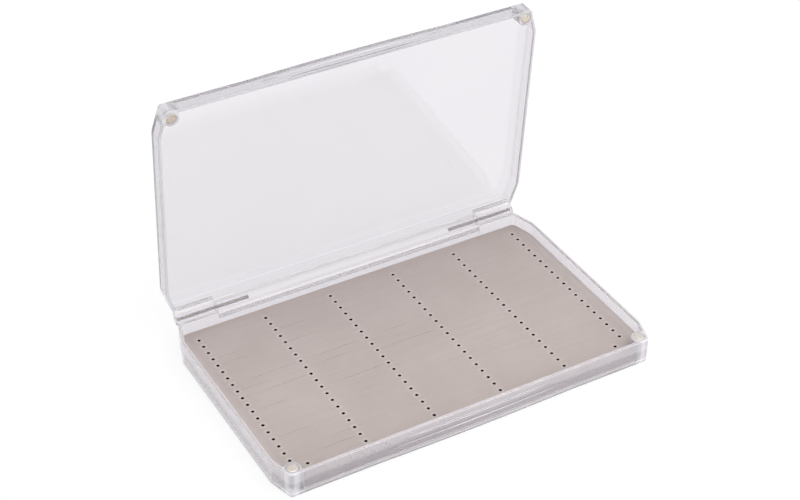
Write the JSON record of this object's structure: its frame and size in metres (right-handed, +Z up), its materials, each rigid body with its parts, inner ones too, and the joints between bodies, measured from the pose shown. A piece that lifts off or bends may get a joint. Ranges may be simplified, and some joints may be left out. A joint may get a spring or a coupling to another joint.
{
  "type": "fly box",
  "caption": "Slim clear box with a hinged lid, a slit foam sheet and corner magnets, standing open.",
  "frame": {"origin": "middle of the base's underside, on the ground", "axes": "+Z up, +X along the hinge, +Y from the front lip towards the hinge; the lid stands open at the back"},
  "size_m": [0.1866, 0.1234, 0.129],
  "materials": {
    "clear_shell": "polished clear",
    "hinge_pin": "dark drawn wire",
    "magnet": "bright plated",
    "foam": "matt closed-cell foam",
    "adhesive": "thin adhesive sheet"
  },
  "bodies": {
    "base": {"base_shell": "clear_shell", "foam_insert": "foam", "foam_adhesive": "adhesive", "base_magnet_left": "magnet", "base_magnet_right": "magnet", "hinge_pin_left": "hinge_pin", "hinge_pin_right": "hinge_pin"},
    "lid": {"lid_shell": "clear_shell", "lid_magnet_left": "magnet", "lid_magnet_right": "magnet"}
  },
  "joints": [
    {"name": "lid_hinge", "type": "hinge", "parent": "base", "child": "lid", "pos_m": [0, 0.0591, 0.01295], "axis": [-1, 0, 0], "range_deg": [-85.5, 94.5]}
  ]
}
